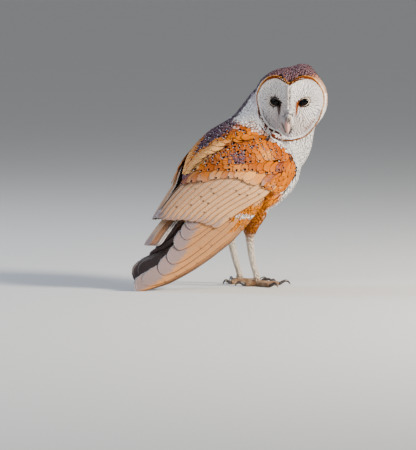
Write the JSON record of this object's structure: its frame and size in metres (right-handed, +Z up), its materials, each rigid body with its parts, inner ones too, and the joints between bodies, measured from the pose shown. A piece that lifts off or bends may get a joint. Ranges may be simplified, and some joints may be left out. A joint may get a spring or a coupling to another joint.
{
  "type": "barn owl",
  "caption": "Life-size barn owl model standing with folded wings and its head turned to look back over its right shoulder.",
  "frame": {"origin": "on the floor under the middle of the bird's bounding box", "axes": "+X is where the breast points, +Y is the bird's left, +Z is up"},
  "size_m": [0.2608, 0.1368, 0.2787],
  "materials": {
    "white_plumage": "matte soft plumage, white",
    "face_plumage": "matte fine plumage, pinkish white",
    "golden_buff_plumage": "matte soft plumage, golden buff with grey and spots",
    "pale_buff_feathers": "matte feather vanes, pale buff",
    "grey_buff_feathers": "matte feather vanes, buff and grey",
    "pale_horn": "smooth pale horn",
    "dark_horn": "smooth dark horn",
    "black_eye": "wet black eye",
    "leg_skin": "scaly grey-brown skin"
  },
  "bodies": {
    "root": {"trunk": "golden_buff_plumage", "neck": "white_plumage", "head": "golden_buff_plumage", "facial_disc": "face_plumage", "eye_left": "black_eye", "eye_right": "black_eye", "bill_upper": "pale_horn", "bill_lower": "pale_horn", "tail": "grey_buff_feathers", "wing_left_coverts": "golden_buff_plumage", "wing_left_secondaries": "pale_buff_feathers", "wing_left_primaries": "grey_buff_feathers", "thigh_left": "golden_buff_plumage", "tarsus_left": "leg_skin", "foot_left": "leg_skin", "claw_inner_left": "dark_horn", "claw_middle_left": "dark_horn", "claw_outer_left": "dark_horn", "claw_hind_left": "dark_horn", "wing_right_coverts": "golden_buff_plumage", "wing_right_secondaries": "pale_buff_feathers", "wing_right_primaries": "grey_buff_feathers", "thigh_right": "golden_buff_plumage", "tarsus_right": "leg_skin", "foot_right": "leg_skin", "claw_inner_right": "dark_horn", "claw_middle_right": "dark_horn", "claw_outer_right": "dark_horn", "claw_hind_right": "dark_horn"}
  },
  "joints": []
}
